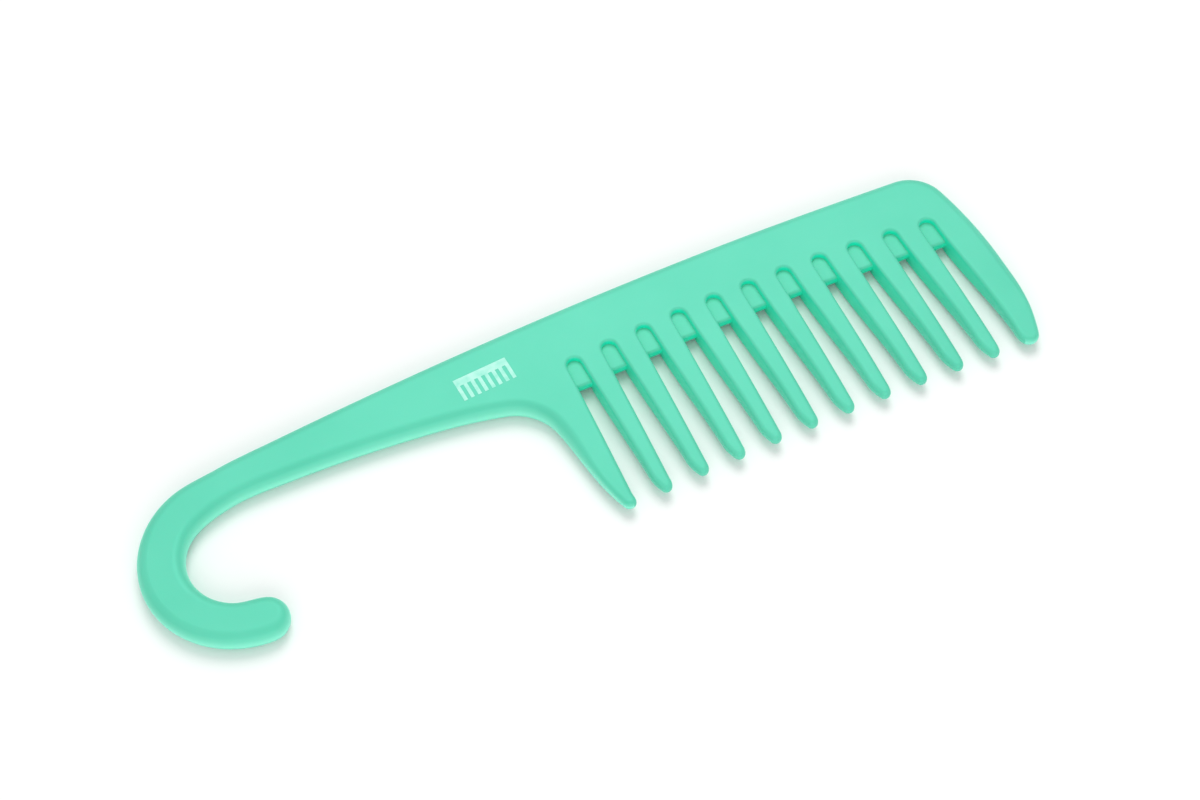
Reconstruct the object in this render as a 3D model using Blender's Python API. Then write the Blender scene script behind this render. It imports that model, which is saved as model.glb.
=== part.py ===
"""Wide tooth shower comb: one plastic moulding with a hook handle, and a printed mark.

Run with: blender --background --python part.py
The comb lies flat on its back face, +Z up. It is drawn with the middle slot at x = 0,
the top of that slot at y = 0 and the teeth pointing along -Y, and then moved so that
the origin is the centre of its footprint on the table.
"""

import math

import bmesh
import bpy
from mathutils import Matrix, Vector

MM = 0.001                          # sizes below are millimetres, the scene is metres

# Tooth field
TOOTH_COUNT = 12
TOOTH_PITCH = 10.4 * MM             # along the slot tops
TIP_FAN = 0.1 * MM                  # wider pitch along the tips: the teeth fan out slightly
TIP_LEAN = 0.5 * MM                 # and lean away from the handle
TOOTH_LENGTH = 46.0 * MM            # middle slot's top to the tips beside it
GAP_AT_ROOT = 4.6 * MM
GAP_AT_TIP = 6.8 * MM
ROOT_LINE_RADIUS = 530.0 * MM       # the slot tops lie on this arc
TIP_LINE_RADIUS = 1000.0 * MM       # the tooth tips lie on this one
TIP_ROUNDING = 3.2 * MM             # length of the rounded end of a tooth
TIP_SWEEP = math.radians(81.0)      # how far round that end a slot's side runs
FIRST_TIP_RADIUS = 2.6 * MM         # outer corner of the first tooth's tip
FIRST_TIP_SHIFT = 0.26 * MM         # and how far inward it lies
LAST_TIP_RADIUS = 3.4 * MM          # outer corner of the last tooth's tip
END_TIP_REACH = 3.0 * MM            # from the last slot's side to the last tooth's lowest point
WIDEST_AT = 0.54                    # share of its length where the last tooth is widest

# Spine and its ends
SPINE_DEPTH = 14.3 * MM             # back edge to the middle slot's top
BACK_RADIUS = 1350.0 * MM           # the long arc of the back edge
END_TOOTH_WIDTH = 13.2 * MM         # last slot's middle to the outer side of the last tooth
CORNER_RADIUS = 9.5 * MM            # top corner over the last tooth
CORNER_IN = 1.38                    # that corner's middle, in its radii from the end
CORNER_DOWN = 0.95                  # and from the back edge
NECK_WIDTH = 11.8 * MM              # first slot's middle to the outer side of the first tooth
NECK_FILLET = 13.3 * MM             # between the handle's underside and the first tooth
NECK_DROP = 22.3 * MM               # that fillet's middle, below the middle slot's top

# Handle and hook
HANDLE_LENGTH = 97.6 * MM           # first slot's middle to the middle of the hook
HANDLE_WIDTH = 14.9 * MM            # across the middle of the handle
GRIP_WIDTH = 11.8 * MM              # across the handle where the hook begins
HOOK_BORE_RADIUS = 12.9 * MM        # the hook's round inside
HOOK_WIDTH = 11.8 * MM
HOOK_DROP = 19.1 * MM               # the hook's middle, below the middle slot's top
HOOK_TIP_RADIUS = 5.7 * MM
HOOK_MOUTH = 0.15                   # hook's middle to where it meets the handle, in outer radii
GRIP_SPAN = 0.15                    # share of the handle that widens from the hook to the grip
OUTER_RISE = 1.03                   # handle over the hook's middle there, in outer radii
INNER_RISE = 1.13                   # and its underside, in bore radii

# Thickness
THICKNESS = 6.2 * MM
EDGE_SHARE = 0.387                  # rounding of the outer edges, as a share of the thickness
TIP_THICKNESS = 3.4 * MM
TAPER_START = 12.0 * MM             # the teeth thin from here to their tips
WEB_THICKNESS = 2.8 * MM            # the skin that closes the roots of the slots
WEB_LENGTH = 8.3 * MM
WEB_END_RADIUS = 1.0 * MM

# Printed mark
MARK_WIDTH = 15.0 * MM
MARK_HEIGHT = 6.8 * MM
MARK_BAR = 2.2 * MM                 # height of the pictogram's back
MARK_TOOTH_COUNT = 8
MARK_FROM_FIRST_SLOT = 23.0 * MM    # first slot's middle to the mark's middle
MARK_Y = 1.0 * MM                   # the mark's middle, above the middle slot's top
MARK_TURN = math.radians(4.0)       # it follows the handle, not the spine
INK_THICKNESS = 0.10 * MM
INK_GAP = 0.05 * MM                 # keeps the ink's solid clear of the moulding

OUTLINE_STEPS = 10                  # facets along one stretch of the outline
EDGE_STEPS = 3                      # facets round an edge, less two
ROOT_STEPS = 8                      # facets round the top of a slot
TIP_STEPS = 6                       # and down each side of a tooth's end
BAND_STEPS = 24                     # facets along the band of webs
SMOOTH_ANGLE = math.radians(35.0)
CUT_MARGIN = 5.0 * MM               # cutters run this far past what they cut

EDGE_RADIUS = EDGE_SHARE * THICKNESS
TIP_PITCH = TOOTH_PITCH + TIP_FAN
SLOT_COUNT = TOOTH_COUNT - 1
FIRST_SLOT_X = -0.5 * (SLOT_COUNT - 1) * TOOTH_PITCH
LAST_SLOT_X = -FIRST_SLOT_X
HOOK_X = FIRST_SLOT_X - HANDLE_LENGTH


def new_collection(name):
    collection = bpy.data.collections.new(name)
    bpy.context.scene.collection.children.link(collection)
    return collection


def make_material(name, color, roughness):
    material = bpy.data.materials.new(name)
    material.use_nodes = True
    shader = material.node_tree.nodes["Principled BSDF"]
    shader.inputs["Base Color"].default_value = (*color, 1.0)
    shader.inputs["Roughness"].default_value = roughness
    shader.inputs["Metallic"].default_value = 0.0
    return material


def arc_drop(x, radius):
    """How far an arc that peaks at x = 0 has fallen at x."""
    return radius - math.sqrt(radius * radius - x * x)


def root_y(x):
    return -arc_drop(x, ROOT_LINE_RADIUS)


def tip_y(x):
    return -TOOTH_LENGTH - arc_drop(x, TIP_LINE_RADIUS)


def back_y(x):
    return SPINE_DEPTH - arc_drop(x, BACK_RADIUS)


def at_tips(x):
    """Where a line down the tooth field that starts at x ends at the tips."""
    return x * TIP_PITCH / TOOTH_PITCH + TIP_LEAN


def on_circle(center, radius, angle, heading):
    """A knot on a circle, with the angle and the heading in degrees."""
    turn = math.radians(angle)
    return (center[0] + radius * math.cos(turn), center[1] + radius * math.sin(turn), heading)


def outline_knots():
    """The comb's outline without its slots, as (x, y, heading), counter-clockwise."""
    end_x = LAST_SLOT_X + END_TOOTH_WIDTH
    neck_x = FIRST_SLOT_X - NECK_WIDTH
    first_tip_x = at_tips(FIRST_SLOT_X - 0.5 * TOOTH_PITCH) + FIRST_TIP_SHIFT
    last_tip_x = at_tips(LAST_SLOT_X) + 0.5 * GAP_AT_TIP + END_TIP_REACH
    first_tip = (first_tip_x, tip_y(first_tip_x) + FIRST_TIP_RADIUS)
    last_tip = (last_tip_x, tip_y(last_tip_x) + LAST_TIP_RADIUS)
    corner = (end_x - CORNER_IN * CORNER_RADIUS, back_y(end_x) - CORNER_DOWN * CORNER_RADIUS)
    neck = (neck_x - NECK_FILLET, -NECK_DROP)
    outer = HOOK_BORE_RADIUS + HOOK_WIDTH
    hook = (HOOK_X, -HOOK_DROP)
    hook_tip = (HOOK_X, -HOOK_DROP - HOOK_BORE_RADIUS - HOOK_TIP_RADIUS)
    hook_mouth_x = HOOK_X + HOOK_MOUTH * outer
    grip_x = hook_mouth_x + GRIP_SPAN * HANDLE_LENGTH
    middle_x = 0.5 * (HOOK_X + neck_x)
    grip_lower = back_y(grip_x) - GRIP_WIDTH
    return [
        on_circle(first_tip, FIRST_TIP_RADIUS, -90.0, 3.0),
        on_circle(last_tip, LAST_TIP_RADIUS, -90.0, -3.0),
        on_circle(last_tip, LAST_TIP_RADIUS, -17.0, 73.0),
        (end_x, root_y(end_x) - WIDEST_AT * TOOTH_LENGTH, 90.0),
        on_circle(corner, CORNER_RADIUS, 14.0, 104.0),
        on_circle(corner, CORNER_RADIUS, 88.0, 178.0),
        (0.0, back_y(0.0), 180.0),
        (grip_x, back_y(grip_x), 185.5),
        (hook_mouth_x, hook[1] + OUTER_RISE * outer, 190.0),
        on_circle(hook, outer, 112.0, 202.0),
        on_circle(hook, outer, 180.0, 270.0),
        on_circle(hook, outer, 250.0, 340.0),
        on_circle(hook_tip, HOOK_TIP_RADIUS, -90.0, 0.0),
        on_circle(hook_tip, HOOK_TIP_RADIUS, 0.0, 90.0),
        on_circle(hook_tip, HOOK_TIP_RADIUS, 70.0, 160.0),
        on_circle(hook, HOOK_BORE_RADIUS, 245.0, 155.0),
        on_circle(hook, HOOK_BORE_RADIUS, 180.0, 90.0),
        on_circle(hook, HOOK_BORE_RADIUS, 120.0, 30.0),
        (hook_mouth_x, hook[1] + INNER_RISE * HOOK_BORE_RADIUS, 11.0),
        (grip_x, grip_lower, -0.5),
        (middle_x, back_y(middle_x) - HANDLE_WIDTH, -4.5),
        on_circle(neck, NECK_FILLET, 75.0, -15.0),
        on_circle(neck, NECK_FILLET, 12.0, -78.0),
        on_circle(first_tip, FIRST_TIP_RADIUS, 195.0, -75.0),
    ]


def curve_object(name, thickness, collection, edge_radius=0.0):
    """An empty flat outline of the given thickness, its edges rounded front and back."""
    curve = bpy.data.curves.new(name, "CURVE")
    curve.dimensions = "2D"
    curve.fill_mode = "BOTH"
    curve.extrude = 0.5 * thickness - edge_radius
    curve.bevel_depth = edge_radius
    curve.bevel_resolution = EDGE_STEPS
    curve.offset = -edge_radius
    shape = bpy.data.objects.new(name, curve)
    collection.objects.link(shape)
    return shape


def add_smooth_spline(shape, knots, steps):
    """A closed curve through the knots; each stretch bends like an arc between its headings."""
    spline = shape.data.splines.new("BEZIER")
    spline.bezier_points.add(len(knots) - 1)
    spline.use_cyclic_u = True
    spline.resolution_u = steps
    for index, (x, y, heading) in enumerate(knots):
        point = spline.bezier_points[index]
        place = Vector((x, y, 0.0))
        direction = Vector((math.cos(math.radians(heading)), math.sin(math.radians(heading)), 0.0))
        reach = []
        for other in (knots[index - 1], knots[(index + 1) % len(knots)]):
            chord = (Vector((other[0], other[1], 0.0)) - place).length
            turn = math.radians((other[2] - heading + 180.0) % 360.0 - 180.0)
            reach.append(chord / (3.0 * math.cos(0.25 * turn) ** 2))
        point.handle_left_type = point.handle_right_type = "FREE"
        point.co = place
        point.handle_left = place - direction * reach[0]
        point.handle_right = place + direction * reach[1]


def add_corner_spline(shape, corners):
    spline = shape.data.splines.new("POLY")
    spline.points.add(len(corners) - 1)
    spline.use_cyclic_u = True
    for point, (x, y) in zip(spline.points, corners):
        point.co = (x, y, 0.0, 1.0)


def to_mesh(shape):
    """Turn a curve object into a mesh object with its caps welded on."""
    graph = bpy.context.evaluated_depsgraph_get()
    mesh = bpy.data.meshes.new_from_object(shape.evaluated_get(graph))
    work = bmesh.new()
    work.from_mesh(mesh)
    bmesh.ops.remove_doubles(work, verts=work.verts, dist=0.001 * MM)
    bmesh.ops.dissolve_degenerate(work, edges=work.edges, dist=0.001 * MM)
    work.to_mesh(mesh)
    work.free()
    name, place, home = shape.name, shape.matrix_world.copy(), shape.users_collection[0]
    bpy.data.objects.remove(shape)
    solid = bpy.data.objects.new(name, mesh)
    solid.matrix_world = place
    home.objects.link(solid)
    return solid


def add_boolean(solid, cutter, operation):
    boolean = solid.modifiers.new(cutter.name, "BOOLEAN")
    boolean.operation = operation
    boolean.solver = "EXACT"
    boolean.object = cutter
    cutter.hide_render = True
    cutter.display_type = "WIRE"


def round_end(center_x, end_y, reach, side):
    """Points down the slot's side of one rounded tooth end; side is +1 right of the slot."""
    points = []
    for step in range(TIP_STEPS + 1):
        turn = TIP_SWEEP * step / TIP_STEPS
        x = center_x - side * reach * math.cos(turn)
        y = end_y + TIP_ROUNDING * (1.0 - math.sin(turn))
        points.append((x, y))
    return points


def slot_corners(slot_x, last):
    """One slot from its round top down past the tips, where it opens round the tooth ends."""
    top_radius = 0.5 * GAP_AT_ROOT
    half_tip_gap = 0.5 * GAP_AT_TIP
    tooth_reach = 0.5 * TIP_PITCH - half_tip_gap
    right_reach = END_TIP_REACH if last else tooth_reach
    right_x = at_tips(slot_x) + half_tip_gap + right_reach
    left_x = at_tips(slot_x) - half_tip_gap - tooth_reach
    top = []
    for step in range(ROOT_STEPS + 1):
        turn = math.pi * step / ROOT_STEPS
        x = slot_x - top_radius * math.cos(turn)
        top.append((x, root_y(slot_x) - top_radius * (1.0 - math.sin(turn))))
    right = round_end(right_x, tip_y(right_x), right_reach, 1.0)
    left = round_end(left_x, tip_y(left_x), tooth_reach, -1.0)
    below = tip_y(LAST_SLOT_X) - CUT_MARGIN
    mouth = [(right[-1][0], below), (left[-1][0], below)]
    return top + right + mouth + left[::-1]


def make_slot_cutters(cutters):
    cuts = []
    for index in range(SLOT_COUNT):
        slot_x = FIRST_SLOT_X + index * TOOTH_PITCH
        shape = curve_object(f"slot_cutter_{index + 1}", THICKNESS + 2.0 * CUT_MARGIN, cutters)
        add_corner_spline(shape, slot_corners(slot_x, index == SLOT_COUNT - 1))
        shape.location.z = 0.5 * THICKNESS
        bpy.context.view_layer.update()
        cuts.append(to_mesh(shape))
    return cuts


def make_thinning_cutters(cutters):
    """Two slanted blocks that thin the teeth evenly from the front and the back."""
    run = TOOTH_LENGTH - TAPER_START
    slope = math.atan2(0.5 * (THICKNESS - TIP_THICKNESS), run)
    length, height = 2.0 * TOOTH_LENGTH, 2.0 * THICKNESS
    width = 2.0 * (LAST_SLOT_X + END_TOOTH_WIDTH + CUT_MARGIN)
    cuts = []
    for name, side, face_z in (("front_thinning", 1.0, THICKNESS), ("back_thinning", -1.0, 0.0)):
        mesh = bpy.data.meshes.new(name)
        work = bmesh.new()
        bmesh.ops.create_cube(work, size=1.0)
        bmesh.ops.scale(work, vec=(width, length, height), verts=work.verts)
        bmesh.ops.translate(work, vec=(0.0, -0.5 * length, side * 0.5 * height), verts=work.verts)
        bmesh.ops.transform(work, matrix=Matrix.Rotation(side * slope, 4, "X"), verts=work.verts)
        work.to_mesh(mesh)
        work.free()
        cutter = bpy.data.objects.new(name, mesh)
        cutter.location = (0.0, -TAPER_START, face_z)
        cutters.objects.link(cutter)
        cuts.append(cutter)
    return cuts


def make_web_band(cutters):
    """One thin curved plate inside the spine that closes the root of every slot."""
    reach = LAST_SLOT_X + 0.5 * TOOTH_PITCH
    xs = [-reach + 2.0 * reach * step / BAND_STEPS for step in range(BAND_STEPS + 1)]
    upper = [(x, root_y(x) + 0.5 * TOOTH_PITCH) for x in xs]
    lower = [(x, root_y(x) - WEB_LENGTH) for x in xs]
    shape = curve_object("slot_webs", WEB_THICKNESS, cutters, WEB_END_RADIUS)
    add_corner_spline(shape, lower + upper[::-1])
    shape.location.z = 0.5 * THICKNESS
    bpy.context.view_layer.update()
    return to_mesh(shape)


def make_comb_body(parts, cutters):
    shape = curve_object("comb_body", THICKNESS, parts, EDGE_RADIUS)
    add_smooth_spline(shape, outline_knots(), OUTLINE_STEPS)
    shape.location.z = 0.5 * THICKNESS
    bpy.context.view_layer.update()
    body = to_mesh(shape)
    for cutter in make_thinning_cutters(cutters) + make_slot_cutters(cutters):
        add_boolean(body, cutter, "DIFFERENCE")
    add_boolean(body, make_web_band(cutters), "UNION")
    body.data.materials.append(make_material("mint_plastic", (0.19, 0.80, 0.58), 0.45))
    return body


def mark_corners():
    """A plain comb pictogram: a bar with short teeth under it."""
    half = 0.5 * MARK_WIDTH
    top = 0.5 * MARK_HEIGHT
    pitch = MARK_WIDTH / (MARK_TOOTH_COUNT - 0.5)
    corners = [(half, top), (-half, top)]
    for index in range(MARK_TOOTH_COUNT):
        left = -half + index * pitch
        right = left + 0.5 * pitch
        corners += [(left, -top), (right, -top)]
        if index < MARK_TOOTH_COUNT - 1:
            corners += [(right, top - MARK_BAR), (left + pitch, top - MARK_BAR)]
    return corners


def make_printed_mark(parts):
    shape = curve_object("printed_mark", INK_THICKNESS, parts)
    add_corner_spline(shape, mark_corners())
    mark_x = FIRST_SLOT_X - MARK_FROM_FIRST_SLOT
    shape.location = (mark_x, MARK_Y, THICKNESS + INK_GAP + 0.5 * INK_THICKNESS)
    shape.rotation_euler.z = MARK_TURN
    bpy.context.view_layer.update()
    mark = to_mesh(shape)
    mark.data.materials.append(make_material("white_ink", (0.72, 0.93, 0.86), 0.5))
    return mark


def stand_on_origin(parts, body):
    """Parent the parts to an empty that puts the footprint's middle at the origin."""
    bpy.context.view_layer.update()
    graph = bpy.context.evaluated_depsgraph_get()
    mesh = body.evaluated_get(graph).to_mesh()
    corners = [body.matrix_world @ vertex.co for vertex in mesh.vertices]
    lows = [min(corner[axis] for corner in corners) for axis in range(3)]
    highs = [max(corner[axis] for corner in corners) for axis in range(3)]
    body.evaluated_get(graph).to_mesh_clear()
    holder = bpy.data.objects.new("comb_origin", None)
    parts.objects.link(holder)
    for member in list(bpy.context.scene.objects):
        if member is not holder:
            member.parent = holder
    holder.location = (-0.5 * (lows[0] + highs[0]), -0.5 * (lows[1] + highs[1]), -lows[2])
    return holder


def main():
    for old in list(bpy.data.objects):
        bpy.data.objects.remove(old)
    parts = new_collection("wide_tooth_comb")
    cutters = new_collection("cutters")
    body = make_comb_body(parts, cutters)
    mark = make_printed_mark(parts)
    for solid in (body, mark):
        solid.data.shade_smooth()
        solid.data.set_sharp_from_angle(angle=SMOOTH_ANGLE)
    stand_on_origin(parts, body)


main()
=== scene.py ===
import math

import bmesh
import bpy
import numpy as np
from mathutils import Matrix, Vector, geometry, kdtree


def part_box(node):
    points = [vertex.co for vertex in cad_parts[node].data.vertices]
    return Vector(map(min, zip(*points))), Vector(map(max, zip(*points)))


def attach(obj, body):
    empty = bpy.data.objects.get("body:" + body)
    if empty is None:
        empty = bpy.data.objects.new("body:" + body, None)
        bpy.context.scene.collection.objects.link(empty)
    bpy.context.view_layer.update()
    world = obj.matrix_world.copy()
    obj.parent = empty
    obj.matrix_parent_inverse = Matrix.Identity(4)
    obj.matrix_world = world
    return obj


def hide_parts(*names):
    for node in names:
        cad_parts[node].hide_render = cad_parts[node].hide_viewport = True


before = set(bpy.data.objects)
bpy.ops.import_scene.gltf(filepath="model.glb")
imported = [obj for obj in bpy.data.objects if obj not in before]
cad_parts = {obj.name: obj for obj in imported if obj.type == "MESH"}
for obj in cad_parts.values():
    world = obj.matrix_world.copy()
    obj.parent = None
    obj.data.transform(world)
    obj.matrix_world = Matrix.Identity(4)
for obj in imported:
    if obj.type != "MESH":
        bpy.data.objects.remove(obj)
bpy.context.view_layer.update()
mm = 0.001

# the comb moulding, drawn with its middle slot's top at the origin and the teeth along -Y
comb = {
    "toothCount": 12,
    "toothPitch": 10.4 * mm,        # along the slot tops
    "tipPitch": 10.5 * mm,          # along the tips: the teeth fan out slightly
    "tipLean": 0.5 * mm,            # and lean away from the handle
    "toothLength": 46.0 * mm,
    "slotAtRoot": (-2.3 * mm, 1.8 * mm),    # a slot's two sides at its top
    "slotAtTips": (-2.85 * mm, 3.3 * mm),   # and at the tips
    "slotBow": 0.28 * mm,           # the middle slots lie this much nearer the handle
    "rootLineRadius": 530.0 * mm,   # the slot tops lie on this arc
    "tipLineRadius": 1000.0 * mm,   # and the tips on this one
    "tipRounding": (5.6 * mm, 3.4 * mm),    # length of a tooth's rounded end, left and right side
    "tipRadius": 1.55 * mm,         # its very end
    "tipSpan": 68.0,                # which turns this many degrees to each side
    "tipShift": 0.45 * mm,          # which lies right of the tooth's middle
    "tipDrop": 0.15 * mm,           # and below the line of the end teeth
    "lastTipRounding": 6.5 * mm,    # the last tooth has its own
    "lastToothTrim": 0.25 * mm,     # the last slot is this much wider
    "endTipReach": 3.05 * mm,       # last slot's side to the last tooth's lowest point
    "firstTipRadius": 2.0 * mm,
    "firstTipShift": 1.0 * mm,
    "firstTipSide": -40.0,          # where the first tooth's end turns up into the slot
    "lastTipRadius": 2.7 * mm,
    "lastTipSide": -148.0,          # and where the last tooth's does
    "spineDepth": 14.3 * mm,        # slot top to back edge
    "backRadius": 1350.0 * mm,
    "endToothWidth": 13.2 * mm,
    "widestAt": 0.49,               # this far down its length
    "cornerRadius": 11.0 * mm,
    "cornerIn": 14.15 * mm,         # the corner's middle, from the end
    "cornerDown": 10.6 * mm,        # and from the back edge
    "neckWidth": 11.8 * mm,
    "neckFillet": 13.3 * mm,
    "neckDrop": 22.3 * mm,
    "handleLength": 97.6 * mm,
    "handleWidth": 14.9 * mm,
    "gripWidth": 11.8 * mm,         # across the handle where the hook begins
    "gripSpan": 0.15,               # and this far along the handle
    "mouthAt": 0.15,                # the hook's circle runs into the handle here
    "outerRise": 1.03,              # its two sides there, as shares of their radii
    "innerRise": 1.13,
    "hookBoreRadius": 12.9 * mm,
    "hookWidth": 11.8 * mm,
    "hookDrop": 19.1 * mm,
    "hookTipRadius": 5.7 * mm,
    "hookTipShift": 0.35 * mm,      # the hook's round end, from straight below its middle
    "hookTipDrop": 0.25 * mm,
    "hookThinning": 0.3 * mm,       # the hook is this much narrower towards its end
}

# how the edges are rounded
rounding = {
    "outer": 2.9 * mm,              # back edge, handle and hook
    "slotRim": 0.8 * mm,            # slot rims at the roots
    "tip": 1.3 * mm,                # every edge at the tips
    "slotFrom": 6.0 * mm,           # the slot rims grow from here to the tips
    "outerFrom": 22.0 * mm,         # the outer edges shrink from here to the tips
    "rings": 7,                     # facets round a quarter turn
    "landing": 0.1 * mm,            # a flat ring inside the rounding keeps the faces flat
    "sharpAngle": math.radians(35.0),
}

# how finely the outline and the face are divided
spacing = {
    "tips": 0.35 * mm,
    "slotTops": 0.5 * mm,
    "sides": 1.1 * mm,
    "face": 2.4 * mm,
    "faceMargin": 1.3 * mm,
    "merge": 0.002 * mm,
}

# sizes that the node tree takes
moulding = {
    "Half Thickness": 3.1 * mm,
    "Tip Half Thickness": 1.5 * mm,
    "Taper Start": 10.0 * mm,
    "Taper End": 46.0 * mm,
    "Web Pitch": comb["toothPitch"],
    "Root Line Radius": comb["rootLineRadius"],
    "Slot Bow": comb["slotBow"],
}
slotWeb = {
    "halfThickness": 1.4 * mm,
    "length": 8.05 * mm,
    "sink": 1.3 * mm,               # how far it runs into the slot's walls
    "endRadius": 0.9 * mm,
}

slotCount = comb["toothCount"] - 1
firstSlotX = -0.5 * (slotCount - 1) * comb["toothPitch"]
lastSlotX = -firstSlotX
hookX = firstSlotX - comb["handleLength"]
hookOuter = comb["hookBoreRadius"] + comb["hookWidth"]


def arcDrop(x, radius):
    return radius - math.sqrt(radius * radius - x * x)


def rootY(x):
    return -arcDrop(x, comb["rootLineRadius"])


def tipY(x):
    return -comb["toothLength"] - arcDrop(x, comb["tipLineRadius"])


def backY(x):
    return comb["spineDepth"] - arcDrop(x, comb["backRadius"])


def atTips(x):
    return x * comb["tipPitch"] / comb["toothPitch"] + comb["tipLean"]


def onCircle(center, radius, angle, heading):
    turn = math.radians(angle)
    return (center[0] + radius * math.cos(turn), center[1] + radius * math.sin(turn), heading)


def smoothLine(knots, pace):
    # knots are x, y and heading; each stretch bends like an arc, and the last knot is left out
    points = []
    for (x0, y0, h0), (x1, y1, h1) in zip(knots[:-1], knots[1:]):
        a, d = Vector((x0, y0)), Vector((x1, y1))
        chord = (d - a).length
        turn = math.radians((h1 - h0 + 180.0) % 360.0 - 180.0)
        reach = chord / (3.0 * math.cos(0.25 * turn) ** 2)
        h0, h1 = math.radians(h0), math.radians(h1)
        b = a + reach * Vector((math.cos(h0), math.sin(h0)))
        c = d - reach * Vector((math.cos(h1), math.sin(h1)))
        steps = max(4, round(chord / pace))
        points += [tuple(p) for p in geometry.interpolate_bezier(a, b, c, d, steps + 1)[:-1]]
    return points


def outerKnots():
    # from the last tooth's lowest point round the back and the hook to the first tooth's
    endX = lastSlotX + comb["endToothWidth"]
    neckX = firstSlotX - comb["neckWidth"]
    firstTipX = atTips(firstSlotX - 0.5 * comb["toothPitch"]) + comb["firstTipShift"]
    lastTipX = atTips(lastSlotX) + comb["slotAtTips"][1] + comb["endTipReach"]
    firstTip = (firstTipX, tipY(firstTipX) + comb["firstTipRadius"])
    lastTip = (lastTipX, tipY(lastTipX) + comb["lastTipRadius"])
    cornerRadius = comb["cornerRadius"]
    corner = (endX - comb["cornerIn"], backY(endX) - comb["cornerDown"])
    neck = (neckX - comb["neckFillet"], -comb["neckDrop"])
    hook = (hookX, -comb["hookDrop"])
    tipRadius, bore = comb["hookTipRadius"], comb["hookBoreRadius"]
    hookTip = (hookX + comb["hookTipShift"], hook[1] - bore - tipRadius - comb["hookTipDrop"])
    mouthX = hookX + comb["mouthAt"] * hookOuter
    gripX = mouthX + comb["gripSpan"] * comb["handleLength"]
    middleX = 0.5 * (hookX + neckX)
    return [
        onCircle(lastTip, comb["lastTipRadius"], -90.0, 0.0),
        onCircle(lastTip, comb["lastTipRadius"], -20.0, 70.0),
        (endX, rootY(endX) - comb["widestAt"] * comb["toothLength"], 90.0),
        onCircle(corner, cornerRadius, 14.0, 104.0),
        onCircle(corner, cornerRadius, 88.0, 178.0),
        (0.0, backY(0.0), 180.0),
        (gripX, backY(gripX), 185.5),
        (mouthX, hook[1] + comb["outerRise"] * hookOuter, 190.0),
        onCircle(hook, hookOuter, 112.0, 202.0),
        onCircle(hook, hookOuter, 180.0, 270.0),
        onCircle(hook, hookOuter - comb["hookThinning"], 250.0, 340.0),
        onCircle(hookTip, tipRadius, -90.0, 0.0),
        onCircle(hookTip, tipRadius, 0.0, 90.0),
        onCircle(hookTip, tipRadius, 70.0, 160.0),
        onCircle(hook, bore, 245.0, 155.0),
        onCircle(hook, bore, 180.0, 90.0),
        onCircle(hook, bore, 120.0, 30.0),
        (mouthX, hook[1] + comb["innerRise"] * bore, 11.0),
        (gripX, backY(gripX) - comb["gripWidth"], -0.5),
        (middleX, backY(middleX) - comb["handleWidth"], -4.5),
        onCircle(neck, comb["neckFillet"], 75.0, -15.0),
        onCircle(neck, comb["neckFillet"], 12.0, -78.0),
        onCircle(firstTip, comb["firstTipRadius"], 201.0, -69.0),
        onCircle(firstTip, comb["firstTipRadius"], -90.0, 0.0),
    ]


def slotBow(x):
    return comb["slotBow"] * (1.0 - (x / lastSlotX) ** 2)


def slotKnots(slotX):
    # up one side of a slot, over its round top and down the other side
    left, right = comb["slotAtRoot"]
    leftTip, rightTip = comb["slotAtTips"]
    bow = slotBow(slotX)
    mouthX = atTips(slotX) - bow
    toothLeft, toothRight = comb["tipRounding"]
    if slotX > lastSlotX - 0.5 * comb["toothPitch"]:
        toothLeft = comb["lastTipRounding"]
        right, rightTip = right + comb["lastToothTrim"], rightTip + comb["lastToothTrim"]
    topRadius, middle = 0.5 * (right - left), slotX - bow + 0.5 * (left + right)
    topY = rootY(slotX) - topRadius
    return [
        (mouthX + leftTip, tipY(mouthX) + toothRight, 89.0),
        (middle - topRadius, topY, 89.0),
        (middle, rootY(slotX), 0.0),
        (middle + topRadius, topY, -89.0),
        (mouthX + rightTip, tipY(mouthX) + toothLeft, -89.0),
    ]


def tipKnots(leftX, rightX):
    # round one tooth's end, from its left side to its right side
    radius = comb["tipRadius"]
    lowX = 0.5 * (leftX + rightX) + comb["tipShift"]
    center = (lowX, tipY(lowX) + radius - comb["tipDrop"])
    return [onCircle(center, radius, turn - 90.0, turn) for turn in (-comb["tipSpan"], 0.0, comb["tipSpan"])]


def wholeOutline():
    # the points, and how far each is a slot's rim (1) or an outer edge (0)
    fine, coarse = spacing["tips"], spacing["sides"]
    outer = outerKnots()
    points = smoothLine(outer, coarse)
    kinds = [0.0] * len(points)
    for index in range(slotCount):
        slotX = firstSlotX + index * comb["toothPitch"]
        knots = slotKnots(slotX)
        if index == 0:
            low = outer[-1]
            center, angle = (low[0], low[1] + comb["tipRadius"]), comb["firstTipSide"]
            side = onCircle(center, comb["tipRadius"], angle, angle + 90.0)
            tip = smoothLine([low, side, knots[0]], fine)
        else:
            tip = smoothLine([lastWall, *tipKnots(lastWall[0], knots[0][0]), knots[0]], fine)
        up = smoothLine(knots[:2], coarse)
        over = smoothLine(knots[1:4], spacing["slotTops"])
        down = smoothLine(knots[3:], coarse)
        points += tip + up + over + down
        kinds += [1.0] * (len(tip) + len(up) + len(over) + len(down))
        lastWall = knots[-1]
    lastTip, angle = (outer[0][0], outer[0][1] + comb["lastTipRadius"]), comb["lastTipSide"]
    under = onCircle(lastTip, comb["lastTipRadius"], angle, angle + 90.0)
    tip = smoothLine([lastWall, under, outer[0]], fine)
    return np.array(points + tip), np.array(kinds + [1.0] * len(tip))


def smoothStep(value, start, end):
    t = np.clip((value - start) / (end - start), 0.0, 1.0)
    return t * t * (3.0 - 2.0 * t)


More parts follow.
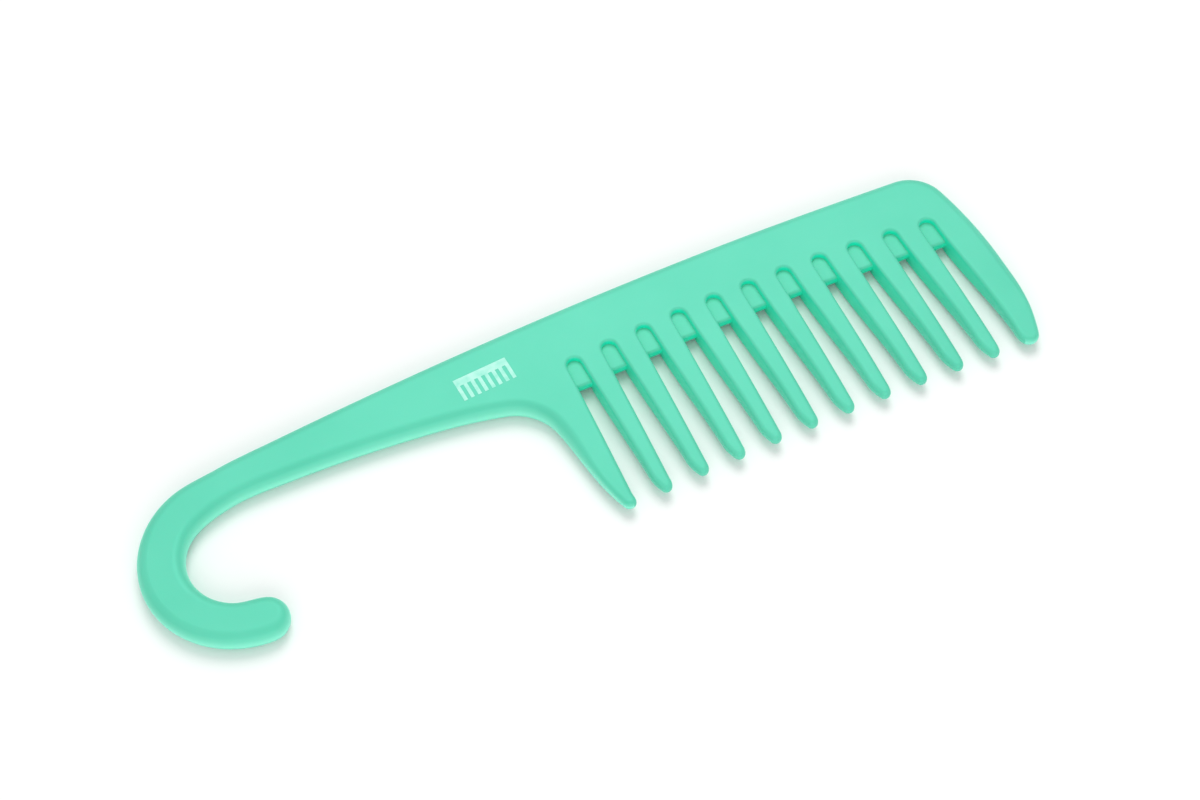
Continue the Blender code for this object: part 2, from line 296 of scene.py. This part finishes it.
def edgeRadii(points, kinds):
    down = -points[:, 1]
    inTeeth = points[:, 0] > firstSlotX - 2.0 * comb["neckWidth"]
    full = comb["toothLength"] - comb["tipRounding"][0]
    slotRadius = rounding["slotRim"] + (rounding["tip"] - rounding["slotRim"]) * smoothStep(
        down, rounding["slotFrom"], full)
    toTip = smoothStep(down, rounding["outerFrom"], full) * inTeeth
    outerRadius = rounding["outer"] + (rounding["tip"] - rounding["outer"]) * toTip
    return np.where(kinds > 0.5, slotRadius, outerRadius)


def inwardNormals(points):
    ahead = np.roll(points, -1, 0) - points
    ahead /= np.linalg.norm(ahead, axis=1)[:, None]
    along = ahead + np.roll(ahead, 1, 0)
    along /= np.linalg.norm(along, axis=1)[:, None]
    return np.stack([-along[:, 1], along[:, 0]], 1)


def insidePoints(ring, step, clearance):
    # an even grid of points inside the ring, clear of it
    low, high = ring.min(0), ring.max(0)
    xs, ys = np.meshgrid(np.arange(low[0], high[0], step), np.arange(low[1], high[1], step))
    xs[1::2] += 0.5 * step
    grid = np.stack([xs.ravel(), ys.ravel()], 1)
    a, b = ring, np.roll(ring, -1, 0)
    inside = np.zeros(len(grid), bool)
    for (ax, ay), (bx, by) in zip(a, b):
        if ay == by:
            continue
        crosses = (grid[:, 1] > min(ay, by)) & (grid[:, 1] <= max(ay, by))
        inside ^= crosses & (grid[:, 0] < ax + (grid[:, 1] - ay) * (bx - ax) / (by - ay))
    tree = kdtree.KDTree(len(ring))
    for index, (x, y) in enumerate(ring):
        tree.insert((x, y, 0.0), index)
    tree.balance()
    return [p for p in grid[inside] if tree.find((p[0], p[1], 0.0))[2] > clearance]


def flatSheet():
    # the comb's face as a flat sheet: rings along its edge, then triangles
    points, kinds = wholeOutline()
    radii = edgeRadii(points, kinds)
    normals = inwardNormals(points)
    count = len(points)
    insets = [radii * (1.0 - math.cos(0.5 * math.pi * k / rounding["rings"]))
              for k in range(rounding["rings"] + 1)]
    insets.append(radii + rounding["landing"])
    rings = [points + normals * inset[:, None] for inset in insets]
    inner = rings[-1]
    loose = insidePoints(inner, spacing["face"], spacing["faceMargin"])
    flat = geometry.delaunay_2d_cdt(
        [Vector(p) for p in inner] + [Vector(p) for p in loose], [], [list(range(count))], 1, 1e-7)
    places, faces, origins = flat[0], flat[2], flat[3]
    base = (len(rings) - 1) * count
    vertices = [(x, y, 0.0) for ring in rings for x, y in ring]
    numbers = {}
    for number, (place, origin) in enumerate(zip(places, origins)):
        if origin and origin[0] < count:
            numbers[number] = base + origin[0]
        else:
            numbers[number] = len(vertices)
            vertices.append((place[0], place[1], 0.0))
    quads = []
    for k in range(len(rings) - 1):
        for i in range(count):
            j = (i + 1) % count
            quads.append((k * count + i, k * count + j, (k + 1) * count + j, (k + 1) * count + i))
    triangles = [tuple(numbers[n] for n in face) for face in faces]
    mesh = bpy.data.meshes.new("combSheet")
    mesh.from_pydata(vertices, [], quads + triangles)
    extra = len(vertices) - len(rings) * count
    deep = np.full(extra, 2.0 * rounding["outer"])
    inset = mesh.attributes.new("inset", "FLOAT", "POINT")
    inset.data.foreach_set("value", np.concatenate(insets + [deep]).astype(np.float32))
    edge = mesh.attributes.new("edgeRadius", "FLOAT", "POINT")
    spread = [np.tile(radii, len(rings)), np.full(extra, rounding["slotRim"])]
    edge.data.foreach_set("value", np.concatenate(spread).astype(np.float32))
    print("comb sheet:", count, "outline points,", len(vertices), "vertices")
    return mesh


def webMesh():
    # one web: a thin plate with a round top and a softened free end
    left, right = comb["slotAtRoot"]
    middle, top = 0.5 * (left + right), 0.5 * (right - left)
    half = top + slotWeb["sink"]
    drawn = bpy.data.curves.new("slotWeb", "CURVE")
    drawn.dimensions = "2D"
    drawn.fill_mode = "BOTH"
    drawn.extrude = slotWeb["halfThickness"] - slotWeb["endRadius"]
    drawn.bevel_depth = slotWeb["endRadius"]
    drawn.bevel_resolution = 4
    drawn.offset = -slotWeb["endRadius"]
    spline = drawn.splines.new("POLY")
    steps = 10
    corners = [(half, -slotWeb["length"])]
    for k in range(steps + 1):
        turn = math.pi * k / steps
        corners.append((half * math.cos(turn), -top + half * math.sin(turn)))
    corners.append((-half, -slotWeb["length"]))
    spline.points.add(len(corners) - 1)
    for point, (x, y) in zip(spline.points, corners):
        point.co = (middle + x, y, 0.0, 1.0)
    spline.use_cyclic_u = True
    holder = bpy.data.objects.new("slotWeb", drawn)
    bpy.context.scene.collection.objects.link(holder)
    bpy.context.view_layer.update()
    graph = bpy.context.evaluated_depsgraph_get()
    mesh = bpy.data.meshes.new_from_object(holder.evaluated_get(graph))
    bpy.data.objects.remove(holder)
    return weld(mesh)


def weld(mesh):
    work = bmesh.new()
    work.from_mesh(mesh)
    bmesh.ops.remove_doubles(work, verts=work.verts, dist=spacing["merge"])
    bmesh.ops.dissolve_degenerate(work, edges=work.edges, dist=spacing["merge"])
    bmesh.ops.recalc_face_normals(work, faces=work.faces)
    work.to_mesh(mesh)
    work.free()
    return mesh


class Tree:
    # a short way to add and join nodes
    def __init__(self, tree):
        self.tree = tree

    def add(self, kind, settings=None, **inputs):
        node = self.tree.nodes.new(kind)
        for name, value in (settings or {}).items():
            setattr(node, name, value)
        for name, value in inputs.items():
            self.feed(node.inputs[name.replace("_", " ")], value)
        return node

    def feed(self, socket, value):
        if isinstance(value, bpy.types.NodeSocket):
            self.tree.links.new(value, socket)
        else:
            socket.default_value = value

    def math(self, operation, *values):
        node = self.tree.nodes.new("ShaderNodeMath")
        node.operation = operation
        for socket, value in zip(node.inputs, values):
            self.feed(socket, value)
        return node.outputs[0]


def mouldingTree():
    tree = bpy.data.node_groups.new("mouldedComb", "GeometryNodeTree")
    face = tree.interface
    face.new_socket("Geometry", in_out="INPUT", socket_type="NodeSocketGeometry")
    for name in moulding:
        face.new_socket(name, in_out="INPUT", socket_type="NodeSocketFloat")
    face.new_socket("Web Count", in_out="INPUT", socket_type="NodeSocketInt")
    face.new_socket("Web Shape", in_out="INPUT", socket_type="NodeSocketObject")
    face.new_socket("Material", in_out="INPUT", socket_type="NodeSocketMaterial")
    face.new_socket("Geometry", in_out="OUTPUT", socket_type="NodeSocketGeometry")
    t = Tree(tree)
    given = t.add("NodeGroupInput").outputs
    place = t.add("ShaderNodeSeparateXYZ", Vector=t.add("GeometryNodeInputPosition").outputs[0]).outputs

    # the teeth thin towards their tips, faster near the roots, and the hook does not
    down = t.math("MULTIPLY", place["Y"], -1.0)
    span = t.math("SUBTRACT", given["Taper End"], given["Taper Start"])
    run = t.math("DIVIDE", t.math("SUBTRACT", down, given["Taper Start"]), span)
    run = t.math("MINIMUM", t.math("MAXIMUM", run, 0.0), 1.0)
    ease = t.math("MULTIPLY", t.math("MULTIPLY", run, run), t.math("MULTIPLY_ADD", run, -0.6, 1.6))
    ease = t.math("MULTIPLY", ease, t.math("GREATER_THAN", place["X"], hookX + 2.0 * hookOuter))
    thinning = t.math("SUBTRACT", given["Half Thickness"], given["Tip Half Thickness"])
    height = t.math("SUBTRACT", given["Half Thickness"], t.math("MULTIPLY", thinning, ease))

    # a quarter circle rises from the edge to the face
    radius = t.add("GeometryNodeInputNamedAttribute", {"data_type": "FLOAT"}, Name="edgeRadius").outputs[0]
    inset = t.add("GeometryNodeInputNamedAttribute", {"data_type": "FLOAT"}, Name="inset").outputs[0]
    short = t.math("SUBTRACT", radius, t.math("MINIMUM", inset, radius))
    square = t.math("SUBTRACT", t.math("MULTIPLY", radius, radius), t.math("MULTIPLY", short, short))
    rise = t.math("SQRT", t.math("MAXIMUM", square, 0.0))
    z = t.math("ADD", t.math("SUBTRACT", height, radius), rise)
    raised = t.add("ShaderNodeCombineXYZ", X=place["X"], Y=place["Y"], Z=z).outputs[0]
    shaped = t.add("GeometryNodeSetPosition", Geometry=given["Geometry"], Position=raised).outputs[0]

    # the side wall drops to the middle plane
    sides = t.add("GeometryNodeInputMeshEdgeNeighbors").outputs[0]
    rim = t.add("FunctionNodeCompare", {"data_type": "INT", "operation": "EQUAL"})
    t.feed(rim.inputs[2], sides)
    rim.inputs[3].default_value = 1
    drop = t.add("ShaderNodeCombineXYZ", Z=-0.5 * mm).outputs[0]
    wall = t.add("GeometryNodeExtrudeMesh", {"mode": "EDGES"}, Mesh=shaped,
                 Selection=rim.outputs[0], Offset=drop)
    level = t.add("ShaderNodeCombineXYZ", X=place["X"], Y=place["Y"], Z=0.0).outputs[0]
    half = t.add("GeometryNodeSetPosition", Geometry=wall.outputs["Mesh"],
                 Selection=wall.outputs["Top"], Position=level).outputs[0]

    # the back is the front's mirror image
    turned = t.add("GeometryNodeTransform", Geometry=half, Scale=(1.0, 1.0, -1.0)).outputs[0]
    both = t.add("GeometryNodeJoinGeometry")
    tree.links.new(half, both.inputs[0])
    tree.links.new(turned, both.inputs[0])
    body = t.add("GeometryNodeMergeByDistance", Geometry=both.outputs[0],
                 Distance=spacing["merge"]).outputs[0]
    body = t.add("GeometryNodeFlipFaces", Mesh=body).outputs[0]     # outwards, or the webs are cut away

    # one web for each slot, on the arc of the slot tops
    row = t.add("GeometryNodeMeshLine", Count=given["Web Count"])
    whole = t.math("MULTIPLY", t.math("SUBTRACT", given["Web Count"], 1.0), given["Web Pitch"])
    start = t.add("ShaderNodeCombineXYZ", X=t.math("MULTIPLY", whole, -0.5)).outputs[0]
    t.feed(row.inputs["Start Location"], start)
    t.feed(row.inputs["Offset"], t.add("ShaderNodeCombineXYZ", X=given["Web Pitch"]).outputs[0])
    fall = t.math("DIVIDE", t.math("MULTIPLY", place["X"], place["X"]),
                  t.math("MULTIPLY", given["Root Line Radius"], -2.0))
    share = t.math("DIVIDE", place["X"], t.math("MULTIPLY", whole, 0.5))
    slack = t.math("SUBTRACT", 1.0, t.math("MULTIPLY", share, share))
    bowed = t.math("SUBTRACT", place["X"], t.math("MULTIPLY", given["Slot Bow"], slack))
    bent = t.add("ShaderNodeCombineXYZ", X=bowed, Y=fall).outputs[0]
    row = t.add("GeometryNodeSetPosition", Geometry=row.outputs[0], Position=bent).outputs[0]
    web = t.add("GeometryNodeObjectInfo", Object=given["Web Shape"]).outputs["Geometry"]
    webs = t.add("GeometryNodeInstanceOnPoints", Points=row, Instance=web).outputs[0]
    webs = t.add("GeometryNodeRealizeInstances", Geometry=webs).outputs[0]
    union = t.add("GeometryNodeMeshBoolean", {"operation": "UNION", "solver": "EXACT"})
    tree.links.new(body, union.inputs["Mesh 2"])
    tree.links.new(webs, union.inputs["Mesh 2"])
    solid = t.add("GeometryNodeRealizeInstances", Geometry=union.outputs["Mesh"]).outputs[0]
    coated = t.add("GeometryNodeSetMaterial", Geometry=solid, Material=given["Material"]).outputs[0]
    t.add("NodeGroupOutput", Geometry=coated)
    return tree


def setInput(modifier, name, value):
    for item in modifier.node_group.interface.items_tree:
        if item.item_type == "SOCKET" and item.in_out == "INPUT" and item.name == name:
            modifier[item.identifier] = value


def plainMesh(source, name):
    bpy.context.view_layer.update()
    graph = bpy.context.evaluated_depsgraph_get()
    mesh = bpy.data.meshes.new_from_object(source.evaluated_get(graph))
    mesh.name = name
    for modifier in list(source.modifiers):
        source.modifiers.remove(modifier)
    return mesh


def drawingPlace():
    # from the drawing's origin on the middle plane to the frame
    low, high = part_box("comb_body")
    return Vector((low.x - (hookX - hookOuter), high.y - comb["spineDepth"],
                   low.z + moulding["Half Thickness"]))


def makeComb(material):
    source = bpy.data.objects.new("combSource", flatSheet())
    web = bpy.data.objects.new("webSource", webMesh())
    for thing in (source, web):
        bpy.context.scene.collection.objects.link(thing)
    modifier = source.modifiers.new("mouldedComb", "NODES")
    modifier.node_group = mouldingTree()
    for name, value in moulding.items():
        setInput(modifier, name, value)
    setInput(modifier, "Web Count", slotCount)
    setInput(modifier, "Web Shape", web)
    setInput(modifier, "Material", material)
    mesh = plainMesh(source, "combMoulding")
    bpy.data.objects.remove(source)
    bpy.data.objects.remove(web)
    weld(mesh)
    mesh.transform(Matrix.Translation(drawingPlace()))
    mesh.shade_smooth()
    mesh.set_sharp_from_angle(angle=rounding["sharpAngle"])
    piece = bpy.data.objects.new("combMoulding", mesh)
    bpy.context.scene.collection.objects.link(piece)
    print("comb moulding:", len(mesh.polygons), "faces")
    return piece


# the printed mark: a plain comb pictogram
mark = {
    "fromFirstSlot": 23.0 * mm,     # its middle, towards the handle
    "rise": 1.0 * mm,               # and above the slot tops
    "turn": math.radians(4.0),
    "width": 15.0 * mm,
    "height": 6.8 * mm,
    "bar": 2.2 * mm,
    "teeth": 8,
    "film": 0.02 * mm,              # ink thickness
    "lift": 0.01 * mm,              # and its gap from the face
}


def makeMark(material):
    half, top = 0.5 * mark["width"], 0.5 * mark["height"]
    pitch = mark["width"] / (mark["teeth"] - 0.5)
    corners = [(half, top), (-half, top)]
    for index in range(mark["teeth"]):
        left = -half + index * pitch
        right = left + 0.5 * pitch
        corners += [(left, -top), (right, -top)]
        if index < mark["teeth"] - 1:
            corners += [(right, top - mark["bar"]), (left + pitch, top - mark["bar"])]
    drawn = bpy.data.curves.new("printedMark", "CURVE")
    drawn.dimensions = "2D"
    drawn.fill_mode = "BOTH"
    drawn.extrude = 0.5 * mark["film"]
    spline = drawn.splines.new("POLY")
    spline.points.add(len(corners) - 1)
    for point, (x, y) in zip(spline.points, corners):
        point.co = (x, y, 0.0, 1.0)
    spline.use_cyclic_u = True
    holder = bpy.data.objects.new("printedMark", drawn)
    bpy.context.scene.collection.objects.link(holder)
    mesh = weld(plainMesh(holder, "printedMark"))
    bpy.data.objects.remove(holder)
    face = moulding["Half Thickness"] + mark["lift"] + 0.5 * mark["film"]
    spot = Vector((firstSlotX - mark["fromFirstSlot"], mark["rise"], face)) + drawingPlace()
    mesh.transform(Matrix.Translation(spot) @ Matrix.Rotation(mark["turn"], 4, "Z"))
    mesh.materials.append(material)
    piece = bpy.data.objects.new("printedMark", mesh)
    bpy.context.scene.collection.objects.link(piece)
    print("printed mark:", len(mesh.polygons), "faces")
    return piece


def grainAndPaintedLight():
    # moulded grain, slow tint drift, and two masks: painted shade on the slot walls and a painted highlight
    # along the outer edges
    group = bpy.data.node_groups.new("grainAndPaintedLight", "ShaderNodeTree")
    face = group.interface
    for name in ("Vector", "Normal"):
        face.new_socket(name, in_out="INPUT", socket_type="NodeSocketVector")
    for name in ("Grain Size", "Drift Size", "Roughness", "Roughness Spread",
                 "Walls From", "Walls To", "Walls Below", "Walls Fade", "Steepness", "Fade Start"):
        face.new_socket(name, in_out="INPUT", socket_type="NodeSocketFloat")
    # Wall is the painted shade mask of the slot walls, Edge the painted highlight mask of the outer edges
    for name in ("Height", "Drift", "Roughness", "Wall", "Edge"):
        face.new_socket(name, in_out="OUTPUT", socket_type="NodeSocketFloat")
    t = Tree(group)
    given = t.add("NodeGroupInput").outputs
    fine = t.add("ShaderNodeTexNoise", Vector=given["Vector"], Detail=3.0, Roughness=0.6,
                 Scale=t.math("DIVIDE", 1.0, given["Grain Size"])).outputs[0]
    slow = t.add("ShaderNodeTexNoise", Vector=given["Vector"], Detail=2.0, Roughness=0.5,
                 Scale=t.math("DIVIDE", 1.0, given["Drift Size"])).outputs[0]
    uneven = t.math("SUBTRACT", t.math("ADD", fine, slow), 1.0)
    rough = t.math("MULTIPLY_ADD", uneven, given["Roughness Spread"], given["Roughness"])

    # painted shade mask: upright faces among the slots, fading out down the teeth
    place = t.add("ShaderNodeSeparateXYZ", Vector=given["Vector"]).outputs
    lean = t.math("ABSOLUTE", t.add("ShaderNodeSeparateXYZ", Vector=given["Normal"]).outputs["Z"])
    upright = t.math("SUBTRACT", 1.0, t.math("MULTIPLY", lean, given["Steepness"]))
    inside = t.math("MULTIPLY", t.math("GREATER_THAN", place["X"], given["Walls From"]),
                    t.math("LESS_THAN", place["X"], given["Walls To"]))
    depth = t.math("SUBTRACT", given["Walls Below"], place["Y"])
    below = t.math("GREATER_THAN", depth, 0.0)
    fade = t.math("SUBTRACT", given["Fade Start"], t.math("DIVIDE", depth, given["Walls Fade"]))
    clamp = t.math("MINIMUM", t.math("MAXIMUM", fade, 0.0), 1.0)
    slot = t.math("MULTIPLY", inside, below)
    upright = t.math("MAXIMUM", upright, 0.0)
    wall = t.math("MULTIPLY", t.math("MULTIPLY", upright, slot), clamp)
    # painted highlight mask: upright faces outside the slots
    edge = t.math("MULTIPLY", upright, t.math("SUBTRACT", 1.0, slot))
    t.add("NodeGroupOutput", Height=fine, Drift=slow, Roughness=rough, Wall=wall, Edge=edge)
    return group


# where the painted shade on the slot walls lies: a deeper, more saturated colour that stands in for the
# shade between the teeth
slotWallShade = {
    "leftMargin": 1.0 * mm,
    "rightMargin": 2.0 * mm,
    "topMargin": 0.5 * mm,
    "fadeShare": 0.8,               # of the teeth's length
    "fadeStart": 1.25,
    "steepness": 1.25,              # how upright a face has to be
}
plastic = {
    "low": (0.105, 0.590, 0.405, 1.0),      # the tint drifts between these two
    "high": (0.125, 0.630, 0.440, 1.0),
    "wall": (0.001, 0.84, 0.57, 1.0),       # painted shade inside the slots
    "edge": (0.26, 0.86, 0.64, 1.0),        # painted highlight along the outer edges
    "grainSize": 0.35 * mm,
    "driftSize": 25.0 * mm,
    "roughness": 0.45,
    "spread": 0.08,
    "bump": 0.02 * mm,
    "subsurface": 0.25,
    "subsurfaceRadius": (0.25, 1.0, 0.7),
    "subsurfaceScale": 1.5 * mm,
    "gloss": 0.8,
    "sheen": 0.3,
    "sheenRoughness": 0.45,
    "glossTint": (0.3, 1.0, 0.8, 1.0),
}
ink = {
    "low": (0.28, 0.80, 0.63, 1.0),
    "high": (0.48, 0.90, 0.77, 1.0),
    "wall": (0.28, 0.80, 0.63, 1.0),
    "edge": (0.28, 0.80, 0.63, 1.0),
    "grainSize": 0.3 * mm,
    "driftSize": 2.0 * mm,
    "roughness": 0.5,
    "spread": 0.1,
    "bump": 0.004 * mm,
}


def skinMaterial(name, look, skin):
    material = bpy.data.materials.new(name)
    material.use_nodes = True
    t = Tree(material.node_tree)
    shader = material.node_tree.nodes["Principled BSDF"]
    coords = t.add("ShaderNodeTexCoord").outputs
    spot = drawingPlace()
    lowTip, highTip = comb["slotAtTips"]
    group = t.add("ShaderNodeGroup", {"node_tree": skin}, Vector=coords["Object"],
                  Normal=coords["Normal"], Grain_Size=look["grainSize"],
                  Drift_Size=look["driftSize"], Roughness=look["roughness"],
                  Roughness_Spread=look["spread"],
                  Walls_From=spot.x + firstSlotX + lowTip - slotWallShade["leftMargin"],
                  Walls_To=spot.x + lastSlotX + highTip + slotWallShade["rightMargin"],
                  Walls_Below=spot.y + slotWallShade["topMargin"],
                  Walls_Fade=slotWallShade["fadeShare"] * comb["toothLength"],
                  Fade_Start=slotWallShade["fadeStart"], Steepness=slotWallShade["steepness"])
    ramp = t.add("ShaderNodeValToRGB", Fac=group.outputs["Drift"])
    ramp.color_ramp.elements[0].position, ramp.color_ramp.elements[1].position = 0.3, 0.7
    ramp.color_ramp.elements[0].color = look["low"]
    ramp.color_ramp.elements[1].color = look["high"]
    color = ramp.outputs[0]
    # painted shade on the slot walls, then a painted highlight along the outer edges
    for part in ("Wall", "Edge"):
        mix = t.add("ShaderNodeMix", {"data_type": "RGBA"})
        t.feed(mix.inputs[0], group.outputs[part])
        t.feed(mix.inputs[6], color)
        t.feed(mix.inputs[7], look[part.lower()])
        color = mix.outputs[2]
    bump = t.add("ShaderNodeBump", Strength=0.6, Distance=look["bump"], Height=group.outputs["Height"])
    t.feed(shader.inputs["Base Color"], color)
    t.feed(shader.inputs["Roughness"], group.outputs["Roughness"])
    t.feed(shader.inputs["Normal"], bump.outputs[0])
    return material, shader


def plasticMaterial(skin):
    material, shader = skinMaterial("mintPlastic", plastic, skin)
    shader.inputs["Subsurface Weight"].default_value = plastic["subsurface"]
    shader.inputs["Subsurface Radius"].default_value = plastic["subsurfaceRadius"]
    shader.inputs["Subsurface Scale"].default_value = plastic["subsurfaceScale"]
    shader.inputs["Specular IOR Level"].default_value = plastic["gloss"]
    shader.inputs["Specular Tint"].default_value = plastic["glossTint"]
    shader.inputs["Sheen Weight"].default_value = plastic["sheen"]
    shader.inputs["Sheen Roughness"].default_value = plastic["sheenRoughness"]
    shader.inputs["Sheen Tint"].default_value = plastic["glossTint"]
    return material


def inkMaterial(skin):
    return skinMaterial("whiteInk", ink, skin)[0]


# floor, light and camera
studio = {
    "floorSize": 6.0,
    "floorColor": (0.96, 0.96, 0.96, 1.0),
    "floorRoughness": 0.9,
    "floorGloss": 0.1,
    "worldStrength": 0.58,
    "exposure": 0.08,
    "keyPower": 6.4,
    "keySize": 0.85,
    "keyFrom": (0.28, 0.60, 1.04),
    "frontPower": 4.5,
    "frontSize": (1.3, 0.6),
    "frontFrom": (-0.35, -0.90, 0.55),
    "lens": 66.0,
    "distance": 0.5589,
    "elevation": math.radians(57.62),
    "turn": math.radians(25.27),
    "aim": (3.5 * mm, -0.6 * mm, 6.2 * mm),
}


def makeFloor():
    bpy.ops.mesh.primitive_plane_add(size=studio["floorSize"])
    floor = bpy.context.object
    floor.name = "floor"
    material = bpy.data.materials.new("paleFloor")
    material.use_nodes = True
    shader = material.node_tree.nodes["Principled BSDF"]
    shader.inputs["Base Color"].default_value = studio["floorColor"]
    shader.inputs["Roughness"].default_value = studio["floorRoughness"]
    shader.inputs["Specular IOR Level"].default_value = studio["floorGloss"]
    floor.data.materials.append(material)
    print("floor laid")


def addPanel(name, place, power, size):
    # a soft panel aimed at the comb: a disk, or a wide rectangle
    lamp = bpy.data.lights.new(name, "AREA")
    lamp.shape = "DISK" if len(size) == 1 else "RECTANGLE"
    lamp.size, lamp.size_y = size[0], size[-1]
    lamp.energy = power
    light = bpy.data.objects.new(name, lamp)
    light.location = place
    light.rotation_euler = (-Vector(place)).to_track_quat("-Z", "Y").to_euler()
    bpy.context.scene.collection.objects.link(light)


def makeLight():
    world = bpy.data.worlds.new("studio")
    world.use_nodes = True
    bpy.context.scene.world = world
    world.node_tree.nodes["Background"].inputs["Color"].default_value = (1.0, 1.0, 1.0, 1.0)
    world.node_tree.nodes["Background"].inputs["Strength"].default_value = studio["worldStrength"]
    addPanel("keyLight", studio["keyFrom"], studio["keyPower"], (studio["keySize"],))
    addPanel("frontLight", studio["frontFrom"], studio["frontPower"], studio["frontSize"])
    print("lights set")


def makeCamera():
    flat = studio["distance"] * math.cos(studio["elevation"])
    back = Vector((-flat * math.sin(studio["turn"]), -flat * math.cos(studio["turn"]),
                   studio["distance"] * math.sin(studio["elevation"])))
    eye = bpy.data.cameras.new("camera")
    eye.lens = studio["lens"]
    eye.clip_start = 0.01
    camera = bpy.data.objects.new("camera", eye)
    camera.location = Vector(studio["aim"]) + back
    camera.rotation_euler = (-back).to_track_quat("-Z", "Y").to_euler()
    bpy.context.scene.collection.objects.link(camera)
    bpy.context.scene.camera = camera
    print("camera placed")


bpy.context.scene.view_settings.view_transform = "Standard"
bpy.context.scene.view_settings.exposure = studio["exposure"]
skin = grainAndPaintedLight()
combPiece = makeComb(plasticMaterial(skin))
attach(combPiece, "root")
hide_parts("comb_body")
markPiece = makeMark(inkMaterial(skin))
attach(markPiece, "root")
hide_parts("printed_mark")
makeFloor()
makeLight()
makeCamera()
